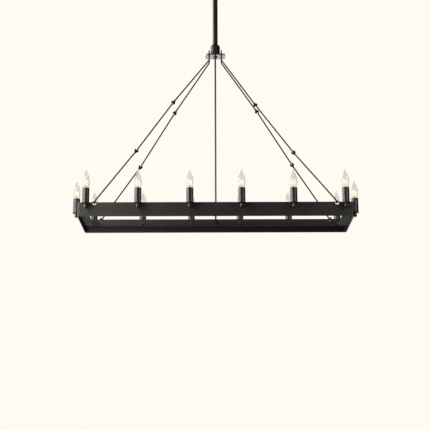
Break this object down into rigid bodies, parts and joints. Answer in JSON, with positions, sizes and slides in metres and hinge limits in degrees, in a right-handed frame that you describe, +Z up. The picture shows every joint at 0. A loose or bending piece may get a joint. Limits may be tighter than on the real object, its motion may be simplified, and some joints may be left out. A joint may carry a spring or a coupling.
{
  "type": "linear island pendant",
  "caption": "Rectangular frame of flat bar ringed by candle lights with flame-tip bulbs, hung by linked wire rods from a hub plate on a stem with a swivel canopy.",
  "frame": {"origin": "middle of the two ceiling screws, in the ceiling plane", "axes": "+Z up into the ceiling, X along the frame, -Y towards the front"},
  "size_m": [1.302, 0.388, 1.231],
  "materials": {
    "bronze_paint": "satin",
    "clear_glass": "gloss",
    "zinc_steel": "satin",
    "turned_steel": "satin",
    "ground_green": "gloss",
    "nylon": "matte",
    "phenolic": "matte",
    "cable_vinyl": "matte"
  },
  "bodies": {
    "ceiling_fixing": {"crossbar": "zinc_steel", "canopy": "bronze_paint", "swivel_housing": "bronze_paint", "swivel_seat": "nylon", "mounting_nipple": "zinc_steel", "nipple_locknuts": "zinc_steel", "ground_screw": "ground_green"},
    "swivel": {"swivel_ball": "turned_steel", "shank_nut": "zinc_steel"},
    "hanging": {"arm_nipples": "zinc_steel", "arm_nuts": "bronze_paint", "back_rail": "bronze_paint", "base_discs": "bronze_paint", "branch_leads": "cable_vinyl", "cross_leads": "cable_vinyl", "cross_tube": "bronze_paint", "cross_tube_collars": "bronze_paint", "down_tube": "bronze_paint", "elbows": "bronze_paint", "front_rail": "bronze_paint", "hub_knob": "bronze_paint", "hub_nipple": "zinc_steel", "hub_plate": "bronze_paint", "left_rail": "bronze_paint", "lower_rod_back_left": "bronze_paint", "lower_rod_back_right": "bronze_paint", "lower_rod_front_left": "bronze_paint", "lower_rod_front_right": "bronze_paint", "middle_rod_back_left": "bronze_paint", "middle_rod_back_right": "bronze_paint", "middle_rod_front_left": "bronze_paint", "middle_rod_front_right": "bronze_paint", "right_rail": "bronze_paint", "sleeves": "bronze_paint", "socket_nipples": "zinc_steel", "sockets": "phenolic", "stem_bushing": "nylon", "stem_coupler": "bronze_paint", "stem_tube": "bronze_paint", "supply_cable": "cable_vinyl", "tee_block": "bronze_paint", "trunk_leads": "cable_vinyl", "upper_rod_back_left": "bronze_paint", "upper_rod_back_right": "bronze_paint", "upper_rod_front_left": "bronze_paint", "upper_rod_front_right": "bronze_paint"},
    "bulb_back_1": {"bulb_back_1": "clear_glass"},
    "bulb_back_2": {"bulb_back_2": "clear_glass"},
    "bulb_back_3": {"bulb_back_3": "clear_glass"},
    "bulb_back_4": {"bulb_back_4": "clear_glass"},
    "bulb_back_5": {"bulb_back_5": "clear_glass"},
    "bulb_back_6": {"bulb_back_6": "clear_glass"},
    "bulb_front_1": {"bulb_front_1": "clear_glass"},
    "bulb_front_2": {"bulb_front_2": "clear_glass"},
    "bulb_front_3": {"bulb_front_3": "clear_glass"},
    "bulb_front_4": {"bulb_front_4": "clear_glass"},
    "bulb_front_5": {"bulb_front_5": "clear_glass"},
    "bulb_front_6": {"bulb_front_6": "clear_glass"},
    "bulb_left": {"bulb_left": "clear_glass"},
    "bulb_right": {"bulb_right": "clear_glass"}
  },
  "joints": [
    {"name": "ball_tilt", "type": "hinge", "parent": "ceiling_fixing", "child": "swivel", "pos_m": [0, 0, -0.05275], "axis": [0, 1, 0], "range_deg": [-20, 20]},
    {"name": "stem_turn", "type": "hinge", "parent": "swivel", "child": "hanging", "pos_m": [0, 0, -0.05275], "axis": [0, 0, 1], "range_deg": [-175, 175]},
    {"name": "bulb_back_1_draw", "type": "slide", "parent": "hanging", "child": "bulb_back_1", "axis": [0, 0, 1], "range_m": [0, 0.045]},
    {"name": "bulb_back_2_draw", "type": "slide", "parent": "hanging", "child": "bulb_back_2", "axis": [0, 0, 1], "range_m": [0, 0.045]},
    {"name": "bulb_back_3_draw", "type": "slide", "parent": "hanging", "child": "bulb_back_3", "axis": [0, 0, 1], "range_m": [0, 0.045]},
    {"name": "bulb_back_4_draw", "type": "slide", "parent": "hanging", "child": "bulb_back_4", "axis": [0, 0, 1], "range_m": [0, 0.045]},
    {"name": "bulb_back_5_draw", "type": "slide", "parent": "hanging", "child": "bulb_back_5", "axis": [0, 0, 1], "range_m": [0, 0.045]},
    {"name": "bulb_back_6_draw", "type": "slide", "parent": "hanging", "child": "bulb_back_6", "axis": [0, 0, 1], "range_m": [0, 0.045]},
    {"name": "bulb_front_1_draw", "type": "slide", "parent": "hanging", "child": "bulb_front_1", "axis": [0, 0, 1], "range_m": [0, 0.045]},
    {"name": "bulb_front_2_draw", "type": "slide", "parent": "hanging", "child": "bulb_front_2", "axis": [0, 0, 1], "range_m": [0, 0.045]},
    {"name": "bulb_front_3_draw", "type": "slide", "parent": "hanging", "child": "bulb_front_3", "axis": [0, 0, 1], "range_m": [0, 0.045]},
    {"name": "bulb_front_4_draw", "type": "slide", "parent": "hanging", "child": "bulb_front_4", "axis": [0, 0, 1], "range_m": [0, 0.045]},
    {"name": "bulb_front_5_draw", "type": "slide", "parent": "hanging", "child": "bulb_front_5", "axis": [0, 0, 1], "range_m": [0, 0.045]},
    {"name": "bulb_front_6_draw", "type": "slide", "parent": "hanging", "child": "bulb_front_6", "axis": [0, 0, 1], "range_m": [0, 0.045]},
    {"name": "bulb_left_draw", "type": "slide", "parent": "hanging", "child": "bulb_left", "axis": [0, 0, 1], "range_m": [0, 0.045]},
    {"name": "bulb_right_draw", "type": "slide", "parent": "hanging", "child": "bulb_right", "axis": [0, 0, 1], "range_m": [0, 0.045]}
  ]
}
